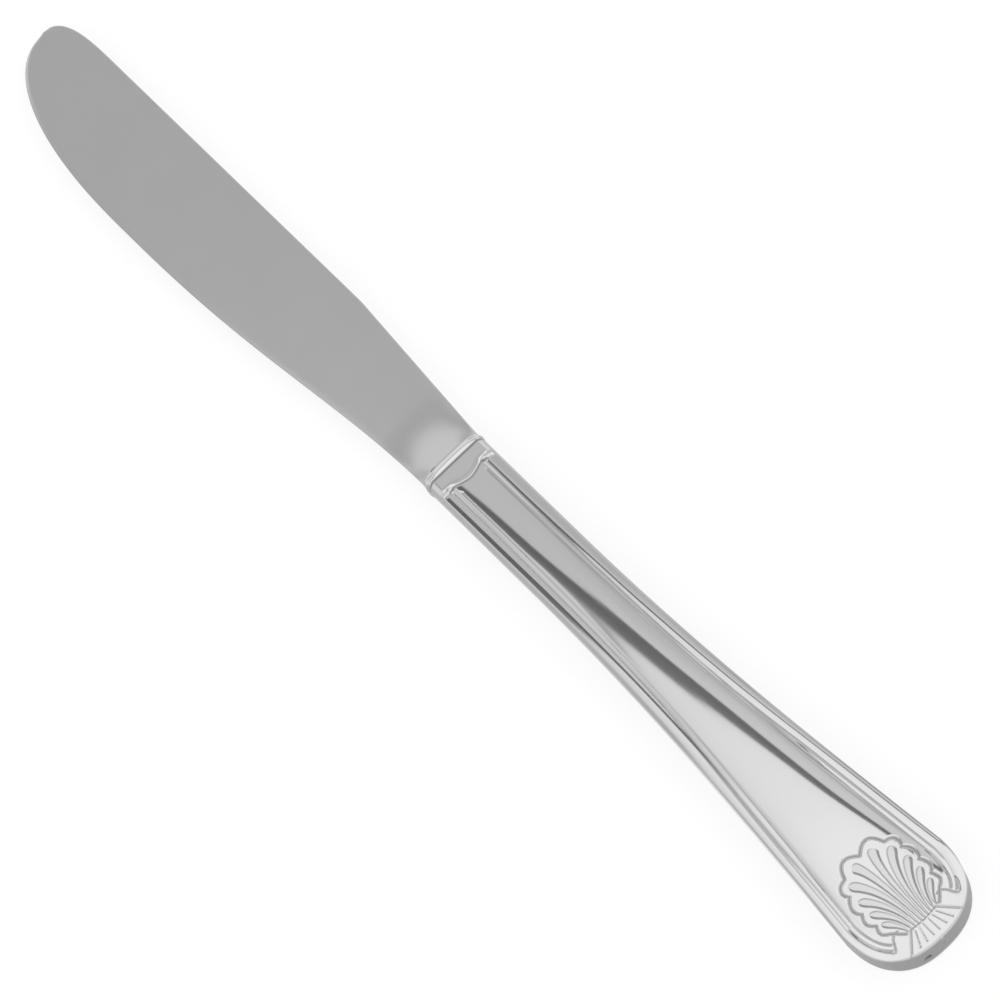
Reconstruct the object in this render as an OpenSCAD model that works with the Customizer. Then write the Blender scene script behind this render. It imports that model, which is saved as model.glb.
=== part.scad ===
// Table knife with a hollow handle: a forged blade soldered into two stamped half shells.
// The knife lies flat, tip towards -X, butt towards +X, cutting edge towards -Y.

/* [Overall] */
// Length from the tip of the blade to the butt
overall_len = 232; // [220:1:244]
// Length of the handle, from its mouth to the butt
handle_len = 118.4; // [112:0.2:124]
// Thickness over the belly of the handle
belly_t = 8.4; // [8:0.1:9.4]

/* [Blade] */
// Width of the blade above the knife's centre line
spine_rise = 8.6; // [8:0.05:9.8]
// Width of the blade below the knife's centre line
belly_drop = 10.95; // [10:0.05:11.5]
// Thickness of the spine at the heel
heel_t = 2.8; // [2.2:0.1:3.2]
// Thickness of the spine near the tip
tip_t = 1.2; // [0.9:0.1:1.8]
// Thickness just above the ground bevel
bevel_t = 0.6; // [0.5:0.05:0.9]
// Thickness left at the cutting edge
edge_t = 0.2; // [0.15:0.05:0.4]
// Width of the ground bevel
bevel_w = 0.7; // [0.4:0.1:1.2]

/* [Bolster and tang] */
// Thickness of the bolster where it meets the handle
bolster_t = 7.3; // [6.8:0.1:7.6]
// Width of the bolster where it meets the handle
bolster_w = 12.2; // [11.6:0.1:12.4]
// Length over which the blade swells into the bolster
bolster_len = 6.6; // [5:0.1:9]
// Depth of the spigot that plugs the mouth of the handle
spigot_len = 6; // [4:0.5:8]
// Length of the tang behind the spigot
tang_len = 56; // [40:1:70]
// Width of the tang where it leaves the spigot
tang_w = 6.4; // [5:0.1:7]
// Width of the tang at its end
tang_end_w = 3.2; // [2.5:0.1:5]
// Thickness of the tang
tang_t = 3; // [2.4:0.1:3.6]

/* [Handle] */
// Width of the handle at its mouth
mouth_w = 12.4; // [12:0.1:13.4]
// Width of the handle across the butt
butt_w = 21.9; // [20.5:0.1:22.5]
// Thickness over the crown at the mouth
mouth_t = 7.6; // [7.4:0.1:7.8]
// Thickness over the crown at the butt
butt_t = 6.6; // [6.4:0.1:7]
// Height of the straight side of each shell at the mouth
mouth_side_h = 0.6; // [0.5:0.05:0.9]
// Height of the straight side of each shell at the butt
butt_side_h = 3; // [2.6:0.05:3.1]
// Length of the round end of the handle
end_len = 11.5; // [10.5:0.1:13]
// Thickness of the stamped sheet
sheet_t = 0.75; // [0.65:0.05:0.85]
// Width of the round bead at the mouth
bead_w = 1.3; // [1:0.1:1.6]
// Width of the level crest along the crown
crest_w = 2.7; // [2:0.1:3.4]
// Depth worn flat off the crest at the belly, where the knife rests
rest_cut = 0.05; // [0.03:0.01:0.08]

/* [Ornament] */
// Depth of the struck grooves and flutes
relief_h = 0.28; // [0.2:0.02:0.34]
// Width of the groove outside the threads and about the shell
outer_groove_w = 0.4; // [0.3:0.05:0.5]
// Width of the groove inside the threads
inner_groove_w = 0.3; // [0.2:0.05:0.35]
// Width of the fine lines between the threads and in the fan
line_w = 0.15; // [0.1:0.01:0.2]
// Distance from the rim to the outer groove
land_w = 1.7; // [1.5:0.05:1.9]
// Width of the threaded border between its outer and inner grooves
border_w = 1.45; // [1.3:0.05:1.6]
// Distance from the mouth to the corners of the border
border_ahead = 4.75; // [4:0.05:6]
// Radius of the corners of the border
border_r = 0.6; // [0.4:0.1:1]
// Depth of the bow between the corners of the border
bow_h = 0.95; // [0.6:0.05:1.3]
// Length of the shell motif and the fan behind it, along the handle
motif_len = 20; // [19:0.2:21]

/* [Joining] */
// Solder between the spigot and the shells
solder_gap = 0.15; // [0.1:0.05:0.25]
// Width of the solder fillet inside the side seam
seam_w = 0.7; // [0.4:0.1:1]
// Height of the solder fillet inside the side seam
seam_h = 0.8; // [0.5:0.1:0.9]
// Radius of the vent hole and of the pin that plugs it
vent_r = 0.5; // [0.35:0.05:0.6]

/* [Hidden] */

x_butt = overall_len / 2;
x_tip = -overall_len / 2;
x_mouth = x_butt - handle_len;
z_seam = belly_t / 2;

// Amount by which a cutting or trimming solid passes the one that it cuts
over = sheet_t;

function clamp01(t) = min(1, max(0, t));
function ease(t) = (1 - cos(180 * clamp01(t))) / 2;
function mix(a, b, t) = a + (b - a) * t;
function reverse(list) = [for (i = [len(list) - 1:-1:0]) list[i]];
function flip(list) = [for (p = list) [p.x, -p.y]];
function unit(p) = p / norm(p);

// Closed solid through rings of points that all have the same count
module loft(rings) {
    n = len(rings[0]);
    last = len(rings) - 1;
    points = [for (ring = rings) each ring];
    sides = [for (i = [0:last - 1]) for (j = [0:n - 1]) let (k = (j + 1) % n)
        each [[i * n + j, (i + 1) * n + k, i * n + k], [i * n + j, (i + 1) * n + j, (i + 1) * n + k]]];
    front_cap = [for (j = [0:n - 1]) j];
    back_cap = [for (j = [n - 1:-1:0]) last * n + j];
    polyhedron(points, concat([front_cap], sides, [back_cap]), convexity = 6);
}

// Plan of the handle: straight at the mouth, flaring to the butt, closed by a round end
flare_power = 2.36;
flare_bulge_share = 0.67;
flare_start_share = 0.22;
end_power = 2.42;
flank_steps = 24;
end_steps = 14;
tangent_share = 0.001;

flare_start = x_mouth + flare_start_share * handle_len;
flare_end = x_butt - end_len;

// Half of the handle's width at a place along it
function half_w(x) =
    let (s = clamp01((x - flare_start) / (flare_end - flare_start)))
    mix(mouth_w, butt_w, pow(s, flare_power) + flare_bulge_share * s * s * (1 - s)) / 2;

// Rim of the handle on its spine side: t from 0 to 1 along the flank and from 1 to 2 round the butt
function rim(t) = t <= 1
    ? let (x = mix(x_mouth, flare_end, t)) [x, half_w(x)]
    : let (a = 90 * (t - 1))
      [flare_end + end_len * pow(sin(a), 2 / end_power), butt_w / 2 * pow(max(0, cos(a)), 2 / end_power)];

// The rim moved inwards, square to itself
function rim_inset(t, d) =
    let (p = rim(t), along = unit(p - rim(t - tangent_share))) p + d * [along.y, -along.x];

rim_ts = concat([for (i = [0:flank_steps]) i / flank_steps], [for (i = [1:end_steps]) 1 + i / end_steps]);

// Closed plan of the handle moved inwards by d, its mouth moved forwards by ahead
function plan(d, ahead) =
    let (side = concat([[x_mouth - ahead, half_w(x_mouth) - d]],
                       [for (t = rim_ts) if (t > 0 && t < 2) rim_inset(t, d)]))
    concat(side, [[x_butt - d, 0]], reverse(flip(side)));

// Crown of the handle: level over the belly, lower at the mouth and at the butt
crown_power = 2.2;
belly_rise_share = 0.09;
belly_end_share = 0.53;
face_shares = [0, 0.16, 0.34, 0.52, 0.68, 0.84, 1.05];
face_steps = 34;

belly_start = x_mouth + spigot_len + sheet_t;
belly_full = belly_start + belly_rise_share * handle_len;
belly_end = x_mouth + belly_end_share * handle_len;

function side_h(x) = mix(mouth_side_h, butt_side_h, ease((x - belly_start) / (flare_end - belly_start)));

function crest(x) =
    mouth_t / 2
    + (belly_t / 2 + rest_cut - mouth_t / 2) * ease((x - belly_start) / (belly_full - belly_start))
    - (belly_t / 2 + rest_cut - butt_t / 2) * ease((x - belly_end) / (flare_end - belly_end));

// Height of the handle's face above the seam
function face_z(x, y) =
    let (v = max(0, abs(y) - crest_w / 2) / (half_w(x) - crest_w / 2))
    side_h(x) + (crest(x) - side_h(x)) * (1 - pow(v, crown_power));

// Ring across a half of the handle at x, from the seam up over the crown, lowered by drop
function face_ring(x, drop) =
    let (ys = [for (s = face_shares) mix(crest_w / 2, half_w(x), s)],
         across = concat(reverse(ys), -ys))
    concat([[x, -across[0], -over], [x, across[0], -over]], [for (y = across) [x, y, face_z(x, y) - drop]]);

// The handle's crowned face as a block wider and longer than its plan
module face_block(drop) {
    loft([for (i = [-1:face_steps + 1]) face_ring(mix(x_mouth, x_butt, i / face_steps), drop)]);
}

// Round bead about the mouth, on one half
bead_steps = 6;

function bead_ring(x, grow) =
    let (ys = [for (s = face_shares) mix(crest_w / 2, half_w(x), min(1, s))],
         across = concat(reverse(ys), -ys),
         top = [for (y = across) [x, y * (1 + grow / half_w(x)), face_z(x, y) * (1 + grow / crest(x))]])
    concat([[x, -top[0].y, 0], [x, top[0].y, 0]], top);

module bead() {
    bead_h = (belly_t - mouth_t) / 2;
    loft([for (i = [0:bead_steps]) let (a = 180 * i / bead_steps)
        bead_ring(x_mouth + bead_w / 2 * (1 - cos(a)), bead_h * sin(a))]);
}

// Half of the handle as a solid lump, its seam face at z = 0
module solid_half() {
    intersection() {
        linear_extrude(belly_t / 2) polygon(plan(0, 0));
        face_block(0);
    }
    bead();
}

// Hollow of one half, open through the mouth
module hollow_half() {
    intersection() {
        translate([0, 0, -over]) linear_extrude(belly_t) polygon(plan(sheet_t, 2 * over));
        face_block(sheet_t);
    }
}

// The ornament, drawn in plan

// Flat strip of even width along a path
function strip(path, width) =
    let (last = len(path) - 1,
         ways = [for (i = [0:last]) unit(path[min(last, i + 1)] - path[max(0, i - 1)])],
         left = [for (i = [0:last]) path[i] + width / 2 * [-ways[i].y, ways[i].x]],
         right = [for (i = [0:last]) path[i] - width / 2 * [-ways[i].y, ways[i].x]])
    concat(left, reverse(right));

// The border: threads along each side, joined by a bow behind the mouth and hooked at the butt
side_start_share = 0.06;
hook_share = 1.62;
split_share = 0.64;
bow_steps = 10;
corner_steps = 3;

function border_side(d, t0, t1) = [for (t = rim_ts) if (t > t0 && t < t1) rim_inset(t, d)];

function bow(d) =
    let (x0 = x_mouth + border_ahead + d - land_w,
         half = half_w(x0) - d,
         h = bow_h * (half - border_r) / (half_w(x0) - land_w - border_r),
         corner = [for (i = [0:corner_steps]) let (a = 90 * i / corner_steps)
                      [x0 + border_r * (1 - sin(a)), half - border_r * (1 - cos(a))]],
         middle = [for (i = [1:bow_steps - 1]) let (s = 2 * i / bow_steps - 1)
                      [x0 + h * pow(cos(90 * s), 2), -s * (half - border_r)]])
    concat(corner, middle, reverse(flip(corner)));

function border_path(d) =
    let (side = border_side(d, side_start_share, hook_share))
    concat(reverse(side), bow(d), flip(side));

module border_grooves() {
    middle = border_side(land_w + border_w / 2, split_share, hook_share);
    hook_t = max([for (t = rim_ts) if (t < hook_share) t]);
    across = [rim_inset(hook_t, land_w), rim_inset(hook_t, land_w + border_w)];
    polygon(strip(border_path(land_w), outer_groove_w));
    polygon(strip(border_path(land_w + border_w), inner_groove_w));
    for (line = [middle, flip(middle), across, flip(across)]) polygon(strip(line, line_w));
}

// The shell: lobes between cusps, given as shares of the motif's length from the butt and the centre line
cusp_shares = [[0.932, 0], [0.878, 0.22], [0.752, 0.288], [0.583, 0.318], [0.433, 0.303], [0.303, 0.268]];
lobe_bulge_shares = [0.09, 0.055, 0.04, 0.035, 0.035];
shell_foot_shares = [[0.265, 0.23], [0.235, 0.205], [0.21, 0.18]];
lobe_steps = 5;

// The flutes: the head of each, its width and the waist that they all run to
head_shares = [[0.9, 0.11], [0.812, 0.235], [0.666, 0.27], [0.53, 0.277], [0.405, 0.267]];
flute_w_shares = [0.095, 0.088, 0.077, 0.073, 0.067];
flute_shares = [0, 0.02, 0.07, 0.14, 0.24, 0.4, 0.6, 0.8, 1];
tail_w_share = 0.2;
turn_share = 0.95;
waist_share = 0.21;
waist_w_share = 0.34;

// The fan behind the waist
fan_start_share = 0.19;
fan_end_share = 0.04;
fan_spread_share = 1.6;
fan_count = 8;

function motif(p) = [x_butt - p.x * motif_len, p.y * motif_len];

// Points of a lobe from a to b, bulging outwards by bulge in the middle
function lobe(a, b, bulge) =
    let (out = unit([a.y - b.y, b.x - a.x]))
    [for (i = [0:lobe_steps - 1]) let (s = i / lobe_steps) mix(a, b, s) + 4 * bulge * s * (1 - s) * out];

function shell_side() =
    concat([for (i = [0:len(lobe_bulge_shares) - 1])
               each lobe(motif(cusp_shares[i]), motif(cusp_shares[i + 1]), lobe_bulge_shares[i] * motif_len)],
           [motif(cusp_shares[len(cusp_shares) - 1])],
           [for (p = shell_foot_shares) motif(p)]);

// A flute: a drop with a round head, narrowing along a curve to its tail
function flute(head, tail, width) =
    let (turn = [head.x + turn_share * (head.y - tail.y), mix(head.y, tail.y, turn_share)],
         path = [for (s = flute_shares) head * (1 - s) * (1 - s) + turn * 2 * s * (1 - s) + tail * s * s],
         last = len(path) - 1,
         round_share = width / norm(tail - head),
         ways = [for (i = [1:last]) unit(path[min(last, i + 1)] - path[i - 1])],
         halves = [for (i = [1:last]) let (s = flute_shares[i])
                      width / 2 * sqrt(1 - pow(1 - clamp01(s / round_share), 2)) * mix(1, tail_w_share, s)],
         left = [for (i = [1:last]) path[i] + halves[i - 1] * [-ways[i - 1].y, ways[i - 1].x]],
         right = [for (i = [1:last]) path[i] - halves[i - 1] * [-ways[i - 1].y, ways[i - 1].x]])
    concat([head], left, reverse(right));

module shell_motif() {
    side = shell_side();
    count = len(head_shares);
    polygon(strip(concat(reverse(flip(side)), [for (i = [1:len(side) - 1]) side[i]]), outer_groove_w));
    for (i = [0:count - 1]) {
        tail = motif([waist_share, waist_w_share * (i + 0.5) / count / 2]);
        drop = flute(motif(head_shares[i]), tail, flute_w_shares[i] * motif_len);
        polygon(drop);
        polygon(flip(drop));
    }
    for (i = [0:fan_count - 1]) {
        s = 2 * i / (fan_count - 1) - 1;
        a = motif([fan_start_share, s * waist_w_share / 2]);
        b = motif([fan_end_share, s * waist_w_share / 2 * fan_spread_share]);
        polygon(strip([a, b], line_w));
    }
}

module ornament() {
    difference() {
        linear_extrude(belly_t) {
            border_grooves();
            shell_motif();
        }
        face_block(relief_h);
    }
}

module shell_half() {
    difference() {
        solid_half();
        hollow_half();
        ornament();
    }
}

module handle_shell_front() {
    color([0.82, 0.82, 0.83])
    translate([0, 0, z_seam]) shell_half();
}

// The vent hole in the end wall of the back shell, and the pin that plugs it
vent_y_share = -0.31;
vent_z_share = 0.34;
vent_steps = 32;

vent_y = vent_y_share * butt_w / 2;
vent_z = z_seam - vent_z_share * butt_side_h;

module vent_cylinder(x0, x1) {
    translate([x0, vent_y, vent_z])
        rotate([0, 90, 0]) cylinder(r = vent_r, h = x1 - x0, $fn = vent_steps);
}

module handle_shell_back() {
    color([0.82, 0.82, 0.83])
    difference() {
        translate([0, 0, z_seam]) mirror([0, 0, 1]) shell_half();
        vent_cylinder(x_butt - 3 * sheet_t, x_butt + over);
    }
}

module vent_pin() {
    color([0.5, 0.5, 0.5])
    intersection() {
        vent_cylinder(x_butt - 3 * sheet_t, x_butt);
        linear_extrude(belly_t) difference() {
            polygon(plan(0, 0));
            polygon(plan(sheet_t, over));
        }
    }
}

// Ring that fills the corner along the seam, inside the hollow, and passes into the wall by beyond
module seam_ring(beyond) {
    translate([0, 0, z_seam - seam_h / 2])
    linear_extrude(seam_h)
    difference() {
        polygon(plan(sheet_t - beyond, 0));
        polygon(plan(sheet_t + seam_w, over));
        translate([x_mouth - over, -butt_w]) square([spigot_len + over, 2 * butt_w]);
    }
}

module seam_solder() {
    color([0.7, 0.7, 0.68]) seam_ring(0);
}

// The hollow of both halves between two places along the handle
module hollow(x0, x1) {
    intersection() {
        union() {
            translate([0, 0, z_seam]) hollow_half();
            translate([0, 0, z_seam]) mirror([0, 0, 1]) hollow_half();
        }
        translate([x0, -butt_w, -over]) cube([x1 - x0, 2 * butt_w, belly_t + 2 * over]);
    }
}

// Outline of the spigot across the handle
function spigot_outline() =
    let (half = mouth_w / 2 - sheet_t - solder_gap,
         ys = [for (s = face_shares) min(half, mix(crest_w / 2, half, s))],
         across = concat(reverse(ys), -ys),
         top = [for (y = across) [y, face_z(x_mouth, y * (1 + solder_gap / half)) - sheet_t - solder_gap]])
    concat(top, reverse(flip(top)));

module spigot(x0, x1) {
    translate([x0, 0, z_seam]) rotate([90, 0, 90]) linear_extrude(x1 - x0) polygon(spigot_outline());
}

// Solder sleeve that fills the mouth about the spigot
module mouth_solder() {
    color([0.7, 0.7, 0.68])
    difference() {
        hollow(x_mouth, x_mouth + spigot_len);
        spigot(x_mouth - over, x_mouth + spigot_len + over);
    }
}

// Blade, bolster, spigot and tang in one forging
tip_len_share = 0.338;
tip_power = 2.31;
tip_y_share = 0.32;
corner_len_share = 0.7;
corner_power = 3;
blunt_share = 0.0005;
fall_len_share = 0.29;
heel_power = 1.27;
spine_round_share = 0.7;
bevel_max_share = 0.3;
flat_shares = [0, 0.03, 0.1, 0.25, 0.42, 0.6, 0.76, 0.9, 1];
blade_steps = 44;

blade_len = overall_len - handle_len;
tip_y = tip_y_share * belly_drop;
corner_len = corner_len_share * (spine_rise + belly_drop);
x_belly = x_tip + tip_len_share * blade_len;
x_fall = x_mouth - fall_len_share * blade_len;

// Height of a round end, from 1 at its foot to almost 0 at its end
function round_off(u, power) = pow(1 - pow(min(u, 1 - blunt_share), power), 1 / power);

// Height of the spine and of the cutting edge at a place along the blade
function spine_y(x) = x < x_tip + corner_len
    ? tip_y + (spine_rise - tip_y) * round_off((x_tip + corner_len - x) / corner_len, corner_power)
    : mix(spine_rise, bolster_w / 2, clamp01((x - x_fall) / (x_mouth - x_fall)));

function edge_y(x) = x < x_belly
    ? tip_y - (tip_y + belly_drop) * round_off((x_belly - x) / (x_belly - x_tip), tip_power)
    : mix(-belly_drop, -bolster_w / 2, ease(pow((x - x_belly) / (x_mouth - x_belly), heel_power)));

function spine_t(x) = mix(tip_t, heel_t, (x - x_tip) / blade_len);

// Half thickness of the blade at a share of the way from the spine to the bevel
function flat_half_t(x, s) = mix(spine_t(x), bevel_t, s) / 2 * (s == 0 ? spine_round_share : 1);

// Half thickness of the bolster at a share of the way across it: the mouth's own curve, made smaller
function bolster_half_t(s) = face_z(x_mouth, mouth_w * (s - 0.5)) * bolster_t / mouth_t;

function blade_ring(x) =
    let (width = spine_y(x) - edge_y(x),
         bevel_share = min(bevel_max_share, bevel_w / width),
         swell = ease((x - x_mouth + bolster_len) / bolster_len),
         flats = [for (s = flat_shares) let (across = s * (1 - bevel_share))
                     [across, mix(flat_half_t(x, s), bolster_half_t(across), swell)]],
         halves = concat(flats, [[1, mix(edge_t / 2, bolster_half_t(1), swell)]]),
         top = [for (h = halves) [x, spine_y(x) - h[0] * width, h[1]]])
    concat([for (p = top) [p.x, p.y, z_seam + p.z]], [for (p = reverse(top)) [p.x, p.y, z_seam - p.z]]);

module tang() {
    x0 = x_mouth + spigot_len - sheet_t;
    x1 = x0 + tang_len;
    translate([0, 0, z_seam - tang_t / 2])
        linear_extrude(tang_t)
        polygon([[x0, -tang_w / 2], [x1, -tang_end_w / 2], [x1, tang_end_w / 2], [x0, tang_w / 2]]);
}

// The rings lie closer together at the tip and at the bolster
module blade() {
    color([0.66, 0.66, 0.67]) {
        loft([for (i = [0:blade_steps]) blade_ring(mix(x_tip, x_mouth, ease(i / blade_steps)))]);
        spigot(x_mouth - sheet_t, x_mouth + spigot_len);
        tang();
    }
}

// Hard cement that fills the handle about the tang
module cement_filling() {
    color([0.55, 0.5, 0.45])
    difference() {
        hollow(x_mouth + spigot_len, x_butt);
        seam_ring(sheet_t / 2);
        tang();
    }
}

blade();
handle_shell_front();
handle_shell_back();
seam_solder();
mouth_solder();
cement_filling();
vent_pin();
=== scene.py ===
import math

import bpy
import numpy as np
from mathutils import Matrix


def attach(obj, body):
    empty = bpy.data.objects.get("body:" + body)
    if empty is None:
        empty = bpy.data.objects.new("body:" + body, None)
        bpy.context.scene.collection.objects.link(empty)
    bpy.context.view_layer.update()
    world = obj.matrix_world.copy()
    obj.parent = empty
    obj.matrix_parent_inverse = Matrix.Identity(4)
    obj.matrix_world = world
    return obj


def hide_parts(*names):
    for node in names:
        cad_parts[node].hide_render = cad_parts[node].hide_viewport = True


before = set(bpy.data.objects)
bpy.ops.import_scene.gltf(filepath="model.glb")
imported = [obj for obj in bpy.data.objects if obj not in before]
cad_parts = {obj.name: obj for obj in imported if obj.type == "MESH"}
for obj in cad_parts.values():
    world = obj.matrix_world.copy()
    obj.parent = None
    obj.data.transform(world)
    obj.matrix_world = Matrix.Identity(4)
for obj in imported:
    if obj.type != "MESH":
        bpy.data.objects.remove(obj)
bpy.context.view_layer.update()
MM = 0.001
scene = bpy.context.scene

# The knife's driving sizes in millimetres, as in the CAD source or rounded from it
OVERALL_LEN, HANDLE_LEN, BELLY_T = 232, 118.4, 8.4
MOUTH_W, MOUTH_T, MOUTH_SIDE_H = 12.4, 7.6, 0.6
BUTT_W, BUTT_SIDE_H = 21.9, 3.0
END_LEN, END_POWER = 11.5, 2.42
FLARE_START_SHARE, FLARE_POWER, FLARE_BULGE = 0.22, 2.36, 0.67
SHEET, SOLDER_GAP = 0.75, 0.15
MOTIF_LEN = 20.0
VENT_Y, VENT_BELOW_SEAM, VENT_R = -3.394, 1.02, 0.5
SPINE_RISE, BELLY_DROP, BELLY_FROM_TIP = 8.6, 10.95, 38.4
TIP_T, HEEL_T, BEVEL_T, EDGE_T, BEVEL_W = 1.2, 2.8, 0.6, 0.2, 0.7
BOLSTER_W, BOLSTER_T = 12.2, 7.3
SPIGOT_LEN, TANG_LEN, TANG_W, TANG_END_W, TANG_T = 6.0, 56.0, 6.4, 3.2, 3.0

# Places along the knife: the tip at the -X end, the butt at the +X end
X_TIP, X_BUTT = -OVERALL_LEN / 2, OVERALL_LEN / 2
X_MOUTH = X_BUTT - HANDLE_LEN
X_SPIGOT = X_MOUTH + SPIGOT_LEN
X_FLARE = X_MOUTH + FLARE_START_SHARE * HANDLE_LEN
X_END = X_BUTT - END_LEN
BLADE_LEN = OVERALL_LEN - HANDLE_LEN
# Height of the seam above the table, which is also how far the worn back reaches below the seam
SEAM = BELLY_T / 2

# The camera: angles in degrees, places in millimetres, and the focal length as a share of the sensor's width
AZIMUTH, ELEVATION, ROLL = 78.611, 65.1102, -33.232
AIM, CAMERA_AWAY = (8.4726, 0.9887, SEAM), 900
SENSOR_W, FOCAL_SHARE = 36, 5.4755
CLIP_START, CLIP_END = 0.01, 20


def make_camera():
    az, el, roll = (math.radians(a) for a in (AZIMUTH, ELEVATION, ROLL))
    back = np.array([math.sin(az) * math.cos(el), -math.cos(az) * math.cos(el), math.sin(el)])
    level = np.cross(-back, (0, 0, 1))
    level /= np.linalg.norm(level)
    above = np.cross(level, -back)
    right = level * math.cos(roll) + above * math.sin(roll)
    up = -level * math.sin(roll) + above * math.cos(roll)
    data = bpy.data.cameras.new("camera")
    data.lens, data.sensor_width = FOCAL_SHARE * SENSOR_W, SENSOR_W
    data.clip_start, data.clip_end = CLIP_START, CLIP_END
    obj = bpy.data.objects.new("camera", data)
    m = np.eye(4)
    m[:3, 0], m[:3, 1], m[:3, 2] = right, up, back
    m[:3, 3] = (np.array(AIM) + back * CAMERA_AWAY) * MM
    obj.matrix_world = Matrix(m.tolist())
    scene.collection.objects.link(obj)
    scene.camera = obj


make_camera()


# Helpers for nodes
def wire(tree, node_type, inputs=None, **props):
    """A new node with its properties set, and each input linked to a socket or set to a value."""
    node = tree.nodes.new(node_type)
    for key, value in props.items():
        setattr(node, key, value)
    for key, value in (inputs or {}).items():
        if isinstance(value, bpy.types.NodeSocket):
            tree.links.new(value, node.inputs[key])
        else:
            node.inputs[key].default_value = value
    return node


def calc(tree, operation, *values):
    """Result of a maths node; each value is a number or a socket."""
    return wire(tree, "ShaderNodeMath", dict(enumerate(values)), operation=operation).outputs[0]


def step(tree, value, low, high, to_low, to_high):
    """Smooth step of value from to_low at low to to_high at high."""
    limits = {"From Min": low, "From Max": high, "To Min": to_low, "To Max": to_high}
    node = wire(tree, "ShaderNodeMapRange", {"Value": value, **limits}, interpolation_type="SMOOTHSTEP")
    return node.outputs[0]


# The floor: half its side in metres, its colour, and how much of white the camera and reflections see in it
FLOOR_REACH = 3.0
FLOOR_COLOUR, WHITE = (0.97, 0.97, 0.97, 1), (1, 1, 1, 1)
FLOOR_GLOW = 0.8


def floor_material():
    mat = bpy.data.materials.new("floor_white")
    mat.use_nodes = True
    t = mat.node_tree
    t.nodes.clear()
    matt = wire(t, "ShaderNodeBsdfDiffuse", {"Color": FLOOR_COLOUR})
    glow = wire(t, "ShaderNodeEmission", {"Color": WHITE, "Strength": 1.0})
    ray = wire(t, "ShaderNodeLightPath").outputs
    reflected = calc(t, "MAXIMUM", ray["Is Glossy Ray"], ray["Is Transmission Ray"])
    seen = calc(t, "MAXIMUM", ray["Is Camera Ray"], reflected)
    share = calc(t, "MULTIPLY", seen, FLOOR_GLOW)
    both = wire(t, "ShaderNodeMixShader", {0: share, 1: matt.outputs[0], 2: glow.outputs[0]})
    wire(t, "ShaderNodeOutputMaterial", {"Surface": both.outputs[0]})
    return mat


def make_floor():
    mesh = bpy.data.meshes.new("floor")
    s = FLOOR_REACH
    mesh.from_pydata([(-s, -s, 0), (s, -s, 0), (s, s, 0), (-s, s, 0)], [], [(0, 1, 2, 3)])
    floor = bpy.data.objects.new("floor", mesh)
    scene.collection.objects.link(floor)
    mesh.materials.append(floor_material())


# The room is drawn on a ceiling one unit up, where each direction meets it; lower ones use the lowest slope
LOWEST_SLOPE = 0.08
# One narrow dark bar: its line across the ceiling, how much and where it bends, and half its width
BAR_X, BAR_SLOPE, BAR_BEND, BEND_START = -0.4286, 0.153, 0.45, -0.28
BAR_HALF = 0.0205
# Smooth steps, each as from, to, value at the one and value at the other
BAR_NARROWS = (0.1, 0.5, BAR_HALF, 0.7 * BAR_HALF)
BAR_EDGE = (-0.003, 0.003, 0.21, 1.0)
OTHER_SIDE = (-0.015, 0.015, 0.0, 1.0)
DARK_SIDE_NEAR = (-0.475, -0.395, 0.77, 0.95)
DARK_SIDE = (-0.56, -0.48, 0.88, 1.0)
DARK_SIDE_FAR = (-1.5, -0.6, 1.1, 0.6)
LIGHT_SIDE = (-0.5, -0.27, 0.99, 1.34)
DIM_BY_Y = (-0.2, 0.2, 0.22, 0.42)
DIM_ASIDE = (0.35, 0.75, 0.0, 1.0)
DIM_LOW_DOWN = (0.02, 0.6, 1.0, 0.0)
BACKDROP = (0.092, 0.12, 1.0, 0.0)


def bar_offset(t, xg, yg):
    """How far a direction meets the ceiling beyond the middle of the bar."""
    bend = calc(t, "POWER", calc(t, "MAXIMUM", calc(t, "SUBTRACT", BEND_START, yg), 0.0), 2.0)
    straight = calc(t, "MULTIPLY_ADD", yg, BAR_SLOPE, BAR_X)
    middle = calc(t, "SUBTRACT", straight, calc(t, "MULTIPLY", bend, BAR_BEND))
    return calc(t, "SUBTRACT", xg, middle)


def bar_light(t, yg, offset):
    """Share of the light that the bar leaves: little within its width, all outside."""
    half = step(t, yg, *BAR_NARROWS)
    return step(t, calc(t, "SUBTRACT", calc(t, "ABSOLUTE", offset), half), *BAR_EDGE)


def room_light(t, xg, offset):
    """Light of the ceiling, a little darker on one side of the bar than on the other."""
    dark_side = calc(t, "MULTIPLY", step(t, xg, *DARK_SIDE_NEAR), step(t, xg, *DARK_SIDE))
    dark_side = calc(t, "MAXIMUM", dark_side, step(t, xg, *DARK_SIDE_FAR))
    beyond = step(t, offset, *OTHER_SIDE)
    from_dark = calc(t, "MULTIPLY", dark_side, calc(t, "SUBTRACT", 1.0, beyond))
    from_light = calc(t, "MULTIPLY", step(t, xg, *LIGHT_SIDE), beyond)
    return calc(t, "ADD", from_dark, from_light)


def low_light(t, y, z):
    """Share of the light that is left low down, where the room is dimmer to the sides."""
    dim = calc(t, "MULTIPLY", step(t, y, *DIM_BY_Y), step(t, calc(t, "ABSOLUTE", y), *DIM_ASIDE))
    return calc(t, "SUBTRACT", 1.0, calc(t, "MULTIPLY", dim, step(t, z, *DIM_LOW_DOWN)))


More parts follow.
